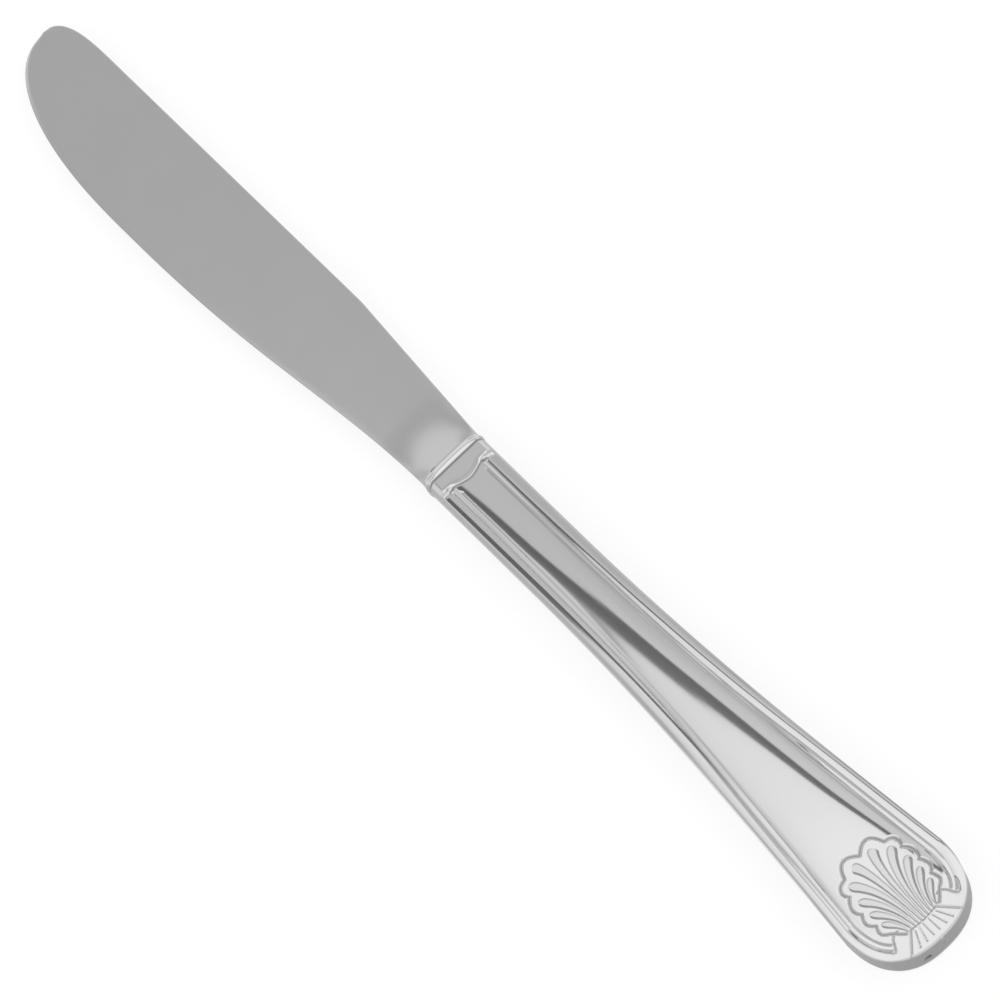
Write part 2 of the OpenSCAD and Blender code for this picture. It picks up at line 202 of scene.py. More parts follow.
def make_world():
    """A soft white room, dimmer low down, with one dark bar overhead and white along the horizon."""
    world = bpy.data.worlds.new("studio")
    scene.world = world
    world.use_nodes = True
    t = world.node_tree
    t.nodes.clear()
    direction = wire(t, "ShaderNodeTexCoord").outputs["Generated"]
    x, y, z = wire(t, "ShaderNodeSeparateXYZ", {0: direction}).outputs
    slope = calc(t, "MAXIMUM", z, LOWEST_SLOPE)
    xg, yg = calc(t, "DIVIDE", x, slope), calc(t, "DIVIDE", y, slope)
    offset = bar_offset(t, xg, yg)
    light = calc(t, "MULTIPLY", room_light(t, xg, offset), low_light(t, y, z))
    light = calc(t, "MULTIPLY", light, bar_light(t, yg, offset))
    light = calc(t, "MAXIMUM", light, step(t, z, *BACKDROP))
    sky = wire(t, "ShaderNodeBackground", {"Color": WHITE, "Strength": light})
    wire(t, "ShaderNodeOutputWorld", {"Surface": sky.outputs[0]})


make_floor()
make_world()


# Helpers for shapes; a ramp is given as its start and its length
def ease(t):
    """Smooth rise from 0 at t = 0 to 1 at t = 1."""
    return (1 - np.cos(np.pi * np.clip(t, 0, 1))) / 2


def ramp(x, start, length):
    """Smooth rise from 0 at start to 1 at a length beyond it."""
    return ease((x - start) / length)


def mix(a, b, t):
    return a + (b - a) * t


def fade(u, top, reach):
    """Straight fall from top at u = 0 to 0 at reach."""
    return top * np.clip(1 - u / reach, 0, 1)


def groove(u, depth, width):
    """A groove about u = 0 with curved sides that meet in a line."""
    return depth * np.clip(1 - np.abs(u) / width, 0, 1) ** 2


def channel(u, depth, half, wall):
    """A flat bottomed channel about u = 0."""
    return depth * np.clip((half - np.abs(u)) / wall, 0, 1)


def crest_drop(u, radius):
    """Fall of a rounded crest at a distance u from its top."""
    return u ** 2 / (2 * radius)


def capped(drop, cap):
    """A drop that levels out at cap."""
    return cap * (1 - np.exp(-drop / cap))


def running_length(line):
    """Length along a polyline from its start to each of its points."""
    return np.concatenate([[0], np.cumsum(np.hypot(*np.diff(line, axis=0).T))])


# How many points are measured at a time, and the least length that a stretch of a polyline counts as
BATCH, SHORTEST = 4000, 1e-9


def seg_dist(p, line):
    """Distance from points to a polyline, and the place along it as a running length."""
    a = line[:-1]
    ab = line[1:] - a
    ln = np.maximum(np.hypot(ab[:, 0], ab[:, 1]), SHORTEST)
    start = np.concatenate([[0], np.cumsum(ln)[:-1]])
    dist, place = np.zeros(len(p)), np.zeros(len(p))
    for k in range(0, len(p), BATCH):
        q = p[k:k + BATCH]
        ap = q[:, None] - a[None]
        t = np.clip((ap * ab).sum(-1) / ln ** 2, 0, 1)
        d = np.hypot(*np.moveaxis(ap - t[..., None] * ab, -1, 0))
        i = d.argmin(1)
        r = np.arange(len(q))
        dist[k:k + BATCH] = d[r, i]
        place[k:k + BATCH] = start[i] + t[r, i] * ln[i]
    return dist, place


def inside(p, poly):
    """Which points lie inside a polygon."""
    x, y = p[:, :1], p[:, 1:]
    x1, y1 = poly[:, 0], poly[:, 1]
    x2, y2 = np.roll(x1, -1), np.roll(y1, -1)
    dy = np.where(y2 == y1, 1, y2 - y1)
    cross = ((y1 > y) != (y2 > y)) & (x < (x2 - x1) * (y - y1) / dy + x1)
    return cross.sum(1) % 2 == 1


# Tables along the handle: the ends and the step of their fine grid, and how many steps the smoothing reaches
TABLE_FROM, TABLE_TO, TABLE_STEP, TABLE_REACH = -20, 140, 0.25, 60


def smooth_table(points, width):
    """Rows of (x, value) as a function of x, smoothed over width."""
    xs = np.arange(TABLE_FROM, TABLE_TO, TABLE_STEP)
    values = np.interp(xs, *np.array(points, float).T)
    weights = np.exp(-0.5 * (np.arange(-TABLE_REACH, TABLE_REACH + 1) * TABLE_STEP / width) ** 2)
    padded = np.pad(values, TABLE_REACH, mode="edge")
    values = np.convolve(padded, weights / weights.sum(), "valid")
    return lambda x: np.interp(x, xs, values)


# The handle's crown: heights above the seam of the panel's middle and of the shelf that carries the threads
CREST = smooth_table([(0, 3.95), (15, 3.96), (30, 4.06), (45, 4.12), (60, 4.14), (75, 4.14), (90, 4.07),
                      (97, 3.97), (104, 3.77), (116, 3.42)], width=5)
SHELF = smooth_table([(0, 3.13), (15, 3.15), (30, 3.22), (45, 3.25), (60, 3.2), (75, 3.1), (90, 3.1),
                      (104, 3.12), (116, 3.0)], width=6)
# The panel's fall to its lip and the power of its curve, both from a fit to the place of the dark stripe
FALL = smooth_table([(0, 0.07), (30, 0.386), (60, 0.311), (104, 0.694), (116, 0.5)], width=6)
POWER = smooth_table([(0, 3.24), (45, 2.17), (104, 2.87)], width=10)
# Insets of the lip and of the shelf's inner side, and how far the lip moves out round the end
LIP, SHELF_IN = 3.3, 2.25
LIP_SHIFT, LIP_SHIFT_LEN = 0.6, 6
# Beyond its lip the panel falls on as far as this share, and hardly at all near the end and on the land
FALL_REACH, FALL_REACH_LEVEL, LEVEL_RAMP = 1.6, 1.05, (96, 8)
# The land behind the mouth: the part of the fall that it leaves out, and where it rises from the shelf
LAND_LEVEL, LAND_RAMP = 0.7, (0.4, 1.0)
# The mouth's end below the bead: its height at the rim and the power of its curve
MOUTH_RIM_Z, MOUTH_POWER = 1.9, 4
# How far the worn back stands proud of the front before it is cut level
WORN_RISE = 0.12
X_BEAD, BEAD_W, BEAD_H = -2.2, 1.55, 0.2


def half_w(x):
    """Half of the handle's width at a place along it."""
    s = np.clip((x - X_FLARE) / (X_END - X_FLARE), 0, 1)
    return mix(MOUTH_W, BUTT_W, s ** FLARE_POWER + FLARE_BULGE * s * s * (1 - s)) / 2


def side_h(x):
    """Height of the straight side of each half."""
    start = X_SPIGOT + SHEET
    return mix(MOUTH_SIDE_H, BUTT_SIDE_H, ramp(x, start, X_END - start))


def panel_z(x, y, land):
    """Height of the crowned panel, also beyond its lip."""
    lip_y = half_w(x) - LIP + LIP_SHIFT * (1 - np.exp(-np.maximum(x - X_END, 0) / LIP_SHIFT_LEN))
    level = np.maximum(land, ramp(x, *LEVEL_RAMP))
    out = np.clip(np.abs(y) / lip_y, 0, mix(FALL_REACH, FALL_REACH_LEVEL, level))
    return CREST(x) - FALL(x) * (1 - LAND_LEVEL * land) * out ** POWER(x)


def crown(x, y, inset, shelved, worn, land=0):
    """Height of the face above the seam; worn leaves the narrow level strip that the knife lies on."""
    rise = mix(ramp(inset, SHELF_IN, LIP - SHELF_IN), ramp(inset, *LAND_RAMP), land)
    face = mix(SHELF(x), panel_z(x, y, land), mix(1, rise, shelved))
    across = np.clip(np.abs(y) / half_w(x), 0, 1)
    mouth = MOUTH_RIM_Z + (MOUTH_T / 2 - MOUTH_RIM_Z) * (1 - across ** MOUTH_POWER)
    z = mix(mouth, face, ramp(x, X_BEAD, BEAD_W))
    return np.minimum(z + WORN_RISE, SEAM) if worn else z


# Rows along the rim: where each stretch ends and the step between its rows, then the step round the end
STRETCHES = ((-0.3, 0.07), (7.2, 0.12), (58, 0.8), (92, 0.45), (104.45, 0.13))
END_STEP = 0.125
# The end's curve is drawn finely first, closer at its start; steps across count less than steps along
END_POINTS, END_CLOSER, ACROSS_WEIGHT = 6000, 1.2, 0.4
# The curve stops short of the middle line, at this share of the half width
END_STOP = 0.0274


def end_curve():
    """The rim round the end, from the flank almost to the middle line, in even steps."""
    last = math.acos(END_STOP ** (END_POWER / 2))
    turn = (np.linspace(0, 1, END_POINTS) ** END_CLOSER) * last
    x = X_END + END_LEN * np.sin(turn) ** (2 / END_POWER)
    y = BUTT_W / 2 * np.cos(turn) ** (2 / END_POWER)
    run = running_length(np.c_[x, ACROSS_WEIGHT * y])
    even = np.linspace(0, run[-1], int(run[-1] / END_STEP))
    return np.c_[np.interp(even, run, x), np.interp(even, run, y)]


def rim_curve():
    """Rim of the handle on one side, from the mouth to the butt, as rows of (x, half width)."""
    rows = []
    start = X_MOUTH
    for end, spacing in STRETCHES:
        # a row on the end itself belongs to the next stretch
        rows.append(np.arange(start, end - spacing / 4, spacing))
        start = end
    x = np.concatenate(rows)
    return np.concatenate([np.c_[x, half_w(x)], end_curve()])


# The two threads: insets from the rim of their crests and of the grooves on their inner sides
CREST_1 = smooth_table([(0, 1.6), (50, 1.57), (62, 1.48), (69, 1.3), (77, 1.05), (85, 0.88),
                        (140, 0.88)], width=3)
GROOVE_1 = smooth_table([(0, 2.45), (58, 2.4), (69, 2.15), (77, 1.78), (85, 1.72), (140, 1.7)], width=3)
CREST_2 = smooth_table([(0, 2.75), (58, 2.75), (69, 2.5), (77, 2.25), (85, 2.14), (99, 2.1),
                        (140, 2.2)], width=3)
GROOVE_2 = smooth_table([(0, 3.38), (15, 3.34), (34, 3.2), (44, 3.08), (60, 3.1), (69, 3.0), (77, 2.8),
                         (85, 2.62), (140, 2.7)], width=3)
# The strike is a little askew: near the mouth the spine side's outer thread is sharper and further in
ASKEW = smooth_table([(0, 0.3), (15, 0.28), (30, 0.05), (44, 0), (140, 0)], width=3)
SHARP_R, BLUNT_R, SHARP_RAMP = 1.4, 2.6, (30, 15)
# Fall from the outer crest to the rim, height of the inner thread, and the cap on the fall between the two
THREAD_CAP, THREAD_H = 0.3, 0.11
INNER_CAP = 1.6 * THREAD_H
GROOVE_SIDE = 0.3
# Painted shade in the first groove: its strength and half width at the front and at the rear, and its soft
# side
REAR_RAMP, SHADE_1, SHADE_1_HALF, SHADE_1_SIDE = (60, 12), (0.3, 0.5), (0.2, 0.15), 0.13
# The second groove's painted shade gets weaker from the mouth to the belly, and some is added at the rear
BELLY_RAMP, SHADE_2, SHADE_2_HALF, SHADE_2_SIDE = (25, 15), (0.35, 0.15), (0.28, 0.18), 0.15
SHADE_2_REAR = 0.3
# A fine line of painted shade beside the outer crest, on the edge side only: strength, half width and soft
# side
BESIDE, BESIDE_SHADE, BESIDE_RAMP = 0.3, (0.45, 0.14, 0.1), (64, 8)


def threads(inset, x, spine):
    """Outer and inner depth of the border's two rounded threads, and the painted shade in their grooves and,
    on the edge side, beside the outer crest.
    """
    c1, g1, c2, g2 = CREST_1(x), GROOVE_1(x), CREST_2(x), GROOVE_2(x)
    radius = BLUNT_R
    if spine:
        c1 = c1 + ASKEW(x)
        radius = mix(SHARP_R, BLUNT_R, ramp(x, *SHARP_RAMP))
    drop = crest_drop(c1 - inset, radius)
    outer = np.where(inset < c1, capped(drop, THREAD_CAP), 0)
    # the inner thread rises from the first groove to its crest and falls to the second groove
    before = (c2 - inset) / (c2 - g1)
    share = np.where(inset < c2, before, (inset - c2) / (g2 - c2))
    deepest = capped(crest_drop(g1 - c1, radius), INNER_CAP)
    second = mix(THREAD_H, deepest, np.clip(before, 0, 1)) * np.clip(share, 0, 1) ** 2
    inner = np.where(inset < c1, 0, np.where(inset < g1, capped(drop, INNER_CAP), second))
    inner = np.where(inset < g2, inner, groove(inset - g2, THREAD_H, GROOVE_SIDE))
    # painted shade in the two grooves, and on the edge side a fine line beside the outer crest
    painted_shade = painted_groove_shade(inset - g1, inset - g2, x)
    if not spine:
        beside = channel(inset - c1 - BESIDE, *BESIDE_SHADE) * ramp(x, *BESIDE_RAMP)
        painted_shade = np.maximum(painted_shade, beside)
    return outer, inner, painted_shade


def painted_groove_shade(past_1, past_2, x):
    """Painted shade in the two grooves; both shades are darker and narrower at the rear than at the belly.
    """
    rear = ramp(x, *REAR_RAMP)
    first = channel(past_1, mix(*SHADE_1, rear), mix(*SHADE_1_HALF, rear), SHADE_1_SIDE)
    strength = mix(*SHADE_2, ramp(x, *BELLY_RAMP)) + SHADE_2_REAR * rear
    second = channel(past_2, strength, mix(*SHADE_2_HALF, rear), SHADE_2_SIDE)
    return np.maximum(first, second)


# Behind the mouth the outer thread turns into a bow: its inset, distance from the mouth, depth and horns
BOW_IN, BOW_AHEAD, BOW_H, HORN_R = 1.6, 4.7, 0.95, 0.6
# Where the bow's path is closed, and the points of a horn and of the bow
BOW_BACK, HORN_STEPS, BOW_STEPS = 60, 13, 41
# The bow's ridge, and the groove and the painted shade behind it
RIDGE_H, RIDGE_R, RIDGE_BEHIND, RIDGE_SIDE = 0.09, 0.8, 1.95, 0.3
BOW_SHADE_BEHIND, BOW_SHADE = 1.97, (0.9, 0.24, 0.12)
# Where the border is measured from the bow, and where along it the thread has turned into the bow
NEAR_MOUTH, BOW_FADE, TURN_RAMP, TURN_FADE = 14, (8, 6), (-0.3, 0.9), (8, 3)
# The land between mouth and bow, and the painted shade at its foot away from the rim
LAND_IN, LAND_ALONG, FOOT_IN, FOOT_SHADE = (1.35, 0.7), (2.0, 0.7), (1.9, 0.4), 0.5


def bow():
    """Crest of the border behind the mouth, with a rounded horn, on the y >= 0 side, closed far behind."""
    x0 = X_MOUTH + BOW_AHEAD
    half = MOUTH_W / 2 - BOW_IN
    a = np.linspace(0, math.pi / 2, HORN_STEPS)
    horn = np.c_[x0 + HORN_R * (1 - np.sin(a)), half - HORN_R * (1 - np.cos(a))]
    s = np.linspace(1, 0, BOW_STEPS)[1:]
    middle = np.c_[x0 + BOW_H * np.cos(s * math.pi / 2) ** 2, s * (half - HORN_R)]
    return np.concatenate([[(BOW_BACK, half)], horn, middle, [(BOW_BACK, 0)]])


def bow_frame(p):
    """For points near the mouth: inset across the bow, and how far the thread has turned into it."""
    path = bow()
    away, along = seg_dist(p, path[:-1])
    inset = BOW_IN + np.where(inside(p, path), away, -away)
    past = along - (path[0, 0] - path[1, 0])
    return inset, ramp(past, *TURN_RAMP) * (1 - ramp(p[:, 0], *TURN_FADE))


def border_at_mouth(p, d, rim_x, spine):
    """Outer and inner depth, painted shade and land of the border for points near the mouth."""
    x = p[:, 0]
    bow_in, turned = bow_frame(p)
    outer, inner, painted_shade = threads(mix(bow_in, d, ramp(x, *BOW_FADE)), rim_x, spine)
    ridge = capped(crest_drop(np.maximum(BOW_IN - bow_in, 0), RIDGE_R), RIDGE_H)
    outer = mix(outer, ridge, turned)
    inner = mix(inner, groove(bow_in - RIDGE_BEHIND, RIDGE_H, RIDGE_SIDE), turned)
    # painted shade behind the bow's ridge, and at the land's foot
    painted_shade = mix(painted_shade, channel(bow_in - BOW_SHADE_BEHIND, *BOW_SHADE), turned)
    land = (1 - ramp(bow_in, *LAND_IN)) * (1 - ramp(x, *LAND_ALONG))
    foot = 4 * land * (1 - land) * (1 - ramp(d, *FOOT_IN))
    return outer, inner, np.maximum(painted_shade, FOOT_SHADE * foot), land


# Painted shade along the rim: its strength, and its reach at the front and at the rear
RIM_SHADE, RIM_REACH = 0.75, (0.6, 0.3)
# The threads end at this share of the way round the end, and the land outside them runs on; ramps from there
THREADS_END = 0.535
KEEP_RAMP, SHELF_RAMP, OUTER_RAMP, RIM_SHADE_RAMP = (-0.1, 0.25), (-7, 8), (-6, 8), (-8, 6)


def border(p, rim, spine):
    """Depth and painted shade of the struck border, distance from the rim, and where there are shelf and
    land.
    """
    line = np.concatenate([rim, [[X_BUTT, 0]]])
    d, place = seg_dist(p, line)
    run = running_length(line)
    rim_x = np.interp(place, run, line[:, 0])
    outer, inner, painted_shade = threads(d, rim_x, spine)
    land = np.zeros(len(d))
    near = p[:, 0] < NEAR_MOUTH
    at_mouth = border_at_mouth(p[near], d[near], rim_x[near], spine)
    for values, changed in zip((outer, inner, painted_shade, land), at_mouth):
        values[near] = changed
    end_start = np.interp(X_END, rim[:, 0], run[:len(rim)])
    over = place - mix(end_start, run[-1], THREADS_END)
    keep = 1 - ramp(over, *KEEP_RAMP)
    shelved = 1 - ramp(over, *SHELF_RAMP)
    depth = inner * keep + outer * (1 - ramp(over, *OUTER_RAMP))
    # painted shade along the rim, reaching further in at the front than at the rear
    front, rear = (np.clip(1 - d / reach, 0, 1) for reach in RIM_REACH)
    rim_shade = RIM_SHADE * mix(np.sqrt(front), rear, ramp(rim_x, *REAR_RAMP))
    painted_shade = np.maximum(painted_shade * keep, rim_shade * (1 - ramp(over, *RIM_SHADE_RAMP)))
    return depth, painted_shade, d, shelved, land


# The motif, in shares of its length, measured from the butt and from the middle line
NEAR_MOTIF = 93
CUSPS = [[0.932, 0], [0.878, 0.22], [0.752, 0.288], [0.583, 0.318], [0.433, 0.303], [0.303, 0.268]]
LOBE_BULGES, LOBE_STEPS = (0.09, 0.055, 0.04, 0.035, 0.035), 9
SHELL_FOOT = [CUSPS[-1], [0.265, 0.23], [0.235, 0.205], [0.21, 0.18]]
HOOK = [[0.165, 0.352], [0.18, 0.33], [0.25, 0.29], [0.285, 0.25], [0.275, 0.215]]
# Channels of the shell's outline and of the hook: depth, painted shade, half widths, and the width of the
# side
OUTLINE_DEPTH, OUTLINE_SHADE, SHELL_HALF, HOOK_HALF, OUTLINE_SIDE = 0.13, 0.72, 0.3, 0.2, 0.13
# Flutes: the head of each and its width, then the waist where they meet and how they turn and narrow
FLUTE_HEADS = [[0.9, 0.11], [0.812, 0.235], [0.666, 0.27], [0.53, 0.277], [0.405, 0.267]]
FLUTE_WIDTHS = [0.095, 0.088, 0.077, 0.073, 0.067]
WAIST, WAIST_W, FLUTE_TURN, TAIL_SHARE = 0.2, 0.34, 0.95, 0.2
# The share of a flute that is drawn as its head, and the points of head and tail
HEAD_SHARE, HEAD_STEPS, TAIL_STEPS = 0.15, 10, 16
# The flutes' depth and sloping side, the painted shade on their floors and at their tails, and the wall
# darkened by painted shade
FLUTE_DEPTH, FLUTE_SIDE, FLUTE_FLOOR_SHADE, TAIL_SHADE = 0.11, 0.14, 0.18, 0.4
WALL_IN, WALL_HALF, WALL_POWER = 0.08, 0.16, 0.6
# Lines of the fan, each as depth, half width, painted shade and reach of that shade, then their places;
# the rays start and end at x, y, with so much between one ray and the next
RAY, FAN_SIDE, WAIST_LINE = (0.1, 0.22, 0.35, 0.25), (0.16, 0.35, 0.5, 0.3), (0.05, 0.35, 0.12, 0.3)
RAY_COUNT, RAY_FROM, RAY_TO = 3, (0.178, 0.029, 0.043), (0.05, 0.032, 0.073)
FAN_SIDE_LINE = [[0.21, 0.137], [0.02, 0.305]]
WAIST_FROM, WAIST_BEND, WAIST_HALF, WAIST_STEPS = 0.197, 0.03, 0.18, 8


def motif(p):
    """Places in the knife's plan for places in shares of the motif's length."""
    p = np.asarray(p, float)
    return np.stack([X_BUTT - p[..., 0] * MOTIF_LEN, p[..., 1] * MOTIF_LEN], -1)


def shell_line():
    """Outline of the shell on the y >= 0 side: lobes between the cusps, and the foot."""
    cusps = motif(CUSPS)
    line = []
    for a, b, bulge in zip(cusps[:-1], cusps[1:], LOBE_BULGES):
        out = np.array([a[1] - b[1], b[0] - a[0]])
        out /= np.hypot(*out)
        for s in np.linspace(0, 1, LOBE_STEPS + 1)[:-1]:
            line.append(mix(a, b, s) + 4 * bulge * MOTIF_LEN * s * (1 - s) * out)
    return np.concatenate([line, motif(SHELL_FOOT)])


def flutes():
    """Middle line and half widths of each flute, a drop with a round head that narrows to its tail."""
    s = np.concatenate([np.linspace(0, HEAD_SHARE, HEAD_STEPS), np.linspace(HEAD_SHARE, 1, TAIL_STEPS)[1:]])
    q = s[:, None]
    for i, (head, width) in enumerate(zip(FLUTE_HEADS, FLUTE_WIDTHS)):
        head, tail = motif(head), motif([WAIST, WAIST_W * (i + 0.5) / (2 * len(FLUTE_HEADS))])
        turn = np.array([head[0] + FLUTE_TURN * (head[1] - tail[1]), mix(head[1], tail[1], FLUTE_TURN)])
        path = head * (1 - q) ** 2 + turn * 2 * q * (1 - q) + tail * q ** 2
        w = width * MOTIF_LEN
        round_share = w / np.hypot(*(tail - head))
        rounded = np.sqrt(1 - (1 - np.clip(s / round_share, 0, 1)) ** 2)
        yield path, w / 2 * rounded * mix(1, TAIL_SHARE, s)


def flute_cut(p, path, half):
    """Depth and painted shade of a flute: walls darkened by painted shade about a paler floor, fainter
    towards the tail.
    """
    away, place = seg_dist(p, path)
    run = running_length(path)
    room = np.interp(place, run, half) - away
    # painted shade on the walls, paler on the floor, fainter towards the tail
    wall = np.clip(1 - np.abs(room - WALL_IN) / WALL_HALF, 0, 1) ** WALL_POWER
    painted_shade = np.maximum(wall, np.where(room > 0, FLUTE_FLOOR_SHADE, 0))
    depth = FLUTE_DEPTH * np.clip(room / FLUTE_SIDE, 0, 1)
    return depth, painted_shade * mix(1, TAIL_SHADE, place / run[-1])


def fan_lines():
    """Rays and side of the fan on the y >= 0 side, and the waist's line between shell and fan."""
    for k in range(RAY_COUNT):
        yield [[x, y + k * between] for x, y, between in (RAY_FROM, RAY_TO)], RAY
    yield FAN_SIDE_LINE, FAN_SIDE
    across = np.linspace(0, WAIST_HALF, WAIST_STEPS)
    yield [[WAIST_FROM + WAIST_BEND * (t / WAIST_HALF) ** 2, t] for t in across], WAIST_LINE


def motif_cuts(p):
    """Depth and painted shade of every line and flute of the shell and the fan."""
    for outline, half in ((shell_line(), SHELL_HALF), (motif(HOOK), HOOK_HALF)):
        away, _ = seg_dist(p, outline)
        cut = channel(away, 1, half, OUTLINE_SIDE)
        yield OUTLINE_DEPTH * cut, OUTLINE_SHADE * cut
    for path, half in flutes():
        yield flute_cut(p, path, half)
    for line, (depth, half, painted_shade, reach) in fan_lines():
        away, _ = seg_dist(p, motif(line))
        yield groove(away, depth, half), fade(away, painted_shade, reach)


def relief(x, y, rim, spine):
    """Depth and painted shade of the whole struck pattern for y >= 0, distance from the rim, shelf and land.
    """
    p = np.c_[x, y]
    depth, painted_shade, d, shelved, land = border(p, rim, spine)
    far = x > NEAR_MOTIF
    for cut_depth, cut_shade in motif_cuts(p[far]):
        depth[far] = np.maximum(depth[far], cut_depth)
        painted_shade[far] = np.maximum(painted_shade[far], cut_shade)
    return depth, painted_shade, d, shelved, land


# Columns of the face: a fringe along the rim at fixed insets, closest on the rounded edge, then the middle
FILLET, FILLET_TURN, FRINGE, FRINGE_STEP, MIDDLE_COLS = 0.7, 11.25, 4.2, 0.1, 49
# The rounded edge gets smaller towards the butt and is hardly there round the end; it falls by this at least
MID_FILLET, MID_FILLET_RAMP, END_FILLET, END_FILLET_RAMP = 0.45, (55, 15), 0.12, (98, 8)
LEAST_FALL = 0.08
# The wall below the rim: its chamfer at the seam, its rows, and its painted shade at the sides and at the
# end
CHAMFER, WALL_STEPS, VENT_WALL_STEPS = 0.035, 3, 14
SIDE_SHADE, END_SHADE, END_SHADE_RAMP = 0.5, 0.9, (92, 10)
# The fine line in the bead: its place, depth and width, then the place, strength and reach of the painted
# shade along it
LINE_X, LINE_DEPTH, LINE_W = -0.6, 0.05, 0.18
LINE_SHADE_X, LINE_SHADE, LINE_SHADE_REACH = -0.55, 1.5, 0.2
# The sunk rim about the vent's plug, which lies on the end wall behind this place
VENT_WALL_X, VENT_DEPTH, VENT_MARGIN, VENT_SIDE = 112, 0.4, 0.12, 0.1
# The inner surface: its columns, room for the pattern, and least distances from the middle and the seam
INNER_COLS, PATTERN_ROOM, INNER_LEAST_Y, INNER_LEAST_Z = 11, 0.1, 0.12, 0.05
# Edges of the shells and of the blade that turn by more than so many degrees stay sharp
SHELL_SHARP, BLADE_SHARP = 35, 30


def outward(rim):
    """Directions square to the rim in plan, pointing out of the handle."""
    along = np.gradient(rim, axis=0)
    along[0], along[-1] = (1, 0), (0, -1)
    out = np.c_[-along[:, 1], along[:, 0]]
    return out / np.hypot(*out.T)[:, None]


def face_grid(rim):
    """Plan of the face on the y >= 0 side: rows along the handle, columns from the rim to the middle."""
    edge = FILLET * (1 - np.sin(np.radians(np.arange(90, 0, -FILLET_TURN))))
    insets = np.concatenate([edge, np.arange(FILLET, FRINGE, FRINGE_STEP)])
    x, w = rim[:, :1], rim[:, 1:]
    shrink = np.minimum(1, w / (MOUTH_W / 2))
    middle = (w - FRINGE * shrink) * np.linspace(1, 0, MIDDLE_COLS)
    y = np.concatenate([w - insets * shrink, middle], 1)
    return np.broadcast_to(x, y.shape), y


def struck_face(x, y, rim, spine, worn):
    """Height and painted shade of the face on one side, with the struck pattern and the rounded edge."""
    values = relief(x.ravel(), y.ravel(), rim, spine)
    depth, painted_shade, d, shelved, land = (v.reshape(x.shape) for v in values)
    radius = mix(FILLET, MID_FILLET, ramp(x, *MID_FILLET_RAMP))
    radius = mix(radius, END_FILLET, ramp(x, *END_FILLET_RAMP))
    round_share = np.clip(1 - d / radius, 0, 1)
    round_share[:, 0] = 1
    z = crown(x, y, d, shelved, worn, land) - depth
    drop = np.maximum(z[:, :1] - side_h(x[:, :1]), LEAST_FALL)
    return z - drop * (1 - np.sqrt(np.maximum(0, 1 - round_share ** 2))), painted_shade


def flank(x, y, z, rim, out, steps):
    """Points of one side of a half, from the chamfer at the seam up the wall and over the face."""
    cols = [np.c_[rim - out * CHAMFER, np.zeros(len(rim))]]
    for k in range(steps):
        cols.append(np.c_[rim, CHAMFER + (z[:, 0] - CHAMFER) * k / steps])
    return np.concatenate([np.stack(cols, 1), np.stack([x, y, z], -1)], 1)


def outer_surface(rim, out, back):
    """Points and painted shade from the seam on the edge side over the crown to the seam on the spine side.
    """
    x, y = face_grid(rim)
    steps = VENT_WALL_STEPS if back else WALL_STEPS
    # painted shade on the wall below the rim, darker round the end
    wall_shade = mix(SIDE_SHADE, END_SHADE, ramp(rim[:, :1], *END_SHADE_RAMP))
    sides = []
    for spine in (True, False):
        z, painted_shade = struck_face(x, y, rim, spine, back)
        points = flank(x, y, z, rim, out, steps)
        points[..., 1] *= 1 if spine else -1
        sides.append((points, np.concatenate([np.repeat(wall_shade, steps + 1, 1), painted_shade], 1)))
    (spine_side, spine_shade), (edge_side, edge_shade) = sides
    middle = (spine_side[:, -1:] + edge_side[:, -1:]) / 2
    outer = np.concatenate([edge_side[:, :-1], middle, spine_side[:, -2::-1]], 1)
    return outer, np.concatenate([edge_shade, spine_shade[:, -2::-1]], 1)


def swell_bead(outer, painted_shade):
    """Swell the mouth's end into a round bead with one fine line in it, and give back the painted shade,
    darker along the line.
    """
    x = outer[..., 0]
    u = np.clip((x - X_BEAD) / BEAD_W, 0, 1)
    line = LINE_DEPTH * np.exp(-((x - LINE_X) / LINE_W) ** 2)
    grow = BEAD_H * (1 - np.cos(2 * np.pi * u)) / 2 - line
    outer[..., 1] *= 1 + grow / (MOUTH_W / 2)
    outer[..., 2] = np.minimum(outer[..., 2] * (1 + grow / (MOUTH_T / 2)), SEAM)
    # painted shade along the fine line in the bead
    return np.maximum(painted_shade, np.clip(LINE_SHADE - np.abs(x - LINE_SHADE_X) / LINE_SHADE_REACH, 0, 1))


def sink_vent(outer):
    """Sink the end wall of the back half about the vent's plug."""
    from_vent = np.hypot(outer[..., 1] - VENT_Y, outer[..., 2] - VENT_BELOW_SEAM)
    sunk = VENT_DEPTH * np.clip((VENT_R + VENT_MARGIN - from_vent) / VENT_SIDE, 0, 1)
    outer[..., 0] -= np.where(outer[..., 0] > VENT_WALL_X, sunk, 0)


def inner_surface(rim, out, worn):
    """Points one sheet below the crown without its pattern, from seam to seam, with few columns."""
    line = rim - out * SHEET
    line[:, 1] = np.maximum(line[:, 1], INNER_LEAST_Y)
    y = line[:, 1:] * np.sin(np.linspace(1, -1, INNER_COLS) * math.pi / 2)
    x = np.repeat(line[:, :1], INNER_COLS, 1)
    x[0] = X_MOUTH
    face = crown(x, y, half_w(x) - np.abs(y), 1, worn)
    inner = np.stack([x, y, np.maximum(face - SHEET - PATTERN_ROOM, INNER_LEAST_Z)], -1)
    foot = inner[:, [0, -1]]
    foot[..., 2] = 0
    return np.concatenate([foot[:, :1], inner, foot[:, 1:]], 1)[:, ::-1]


